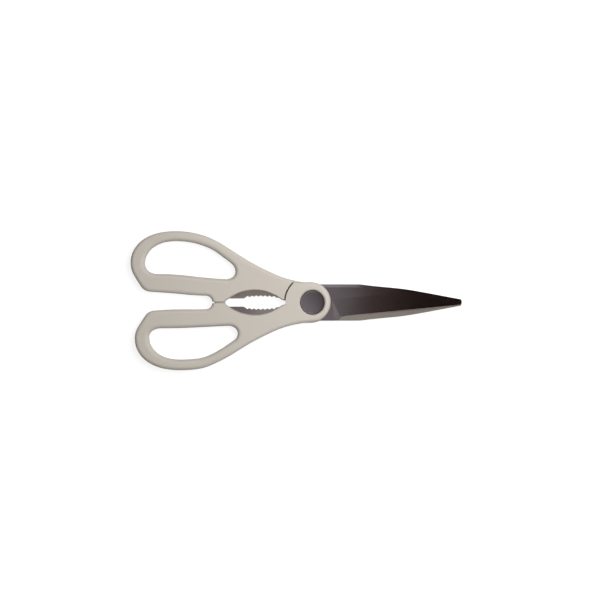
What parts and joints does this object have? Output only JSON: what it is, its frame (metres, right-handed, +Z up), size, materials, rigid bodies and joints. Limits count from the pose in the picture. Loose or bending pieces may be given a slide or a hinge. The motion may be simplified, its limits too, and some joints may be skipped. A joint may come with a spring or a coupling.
{
  "type": "poultry shears",
  "caption": "All-purpose kitchen and poultry shears with tapered steel blades, light moulded loop handles and a toothed nutcracker opening behind a round pivot head.",
  "frame": {"origin": "on the pivot axis, in the plane that the closed shears lie on", "axes": "+X along the closed blades to the tips, +Y towards the spine of the blade that carries the pivot head, +Z up from the resting plane through the pivot head"},
  "size_m": [0.2145, 0.09, 0.011],
  "materials": {
    "blade_steel": "fine lengthwise grind, satin",
    "handle_plastic": "warm light grey, satin moulded",
    "pivot_steel": "turned, satin"
  },
  "bodies": {
    "front_half": {"front_blade": "blade_steel", "front_handle": "handle_plastic", "pivot_bolt": "pivot_steel", "pivot_nut": "pivot_steel", "spring_washer": "pivot_steel"},
    "rear_half": {"rear_blade": "blade_steel", "rear_handle": "handle_plastic"}
  },
  "joints": [
    {"name": "blade_pivot", "type": "hinge", "parent": "front_half", "child": "rear_half", "pos_m": [0, 0, 0.0055], "axis": [0, 0, -1], "range_deg": [0, 75]}
  ]
}
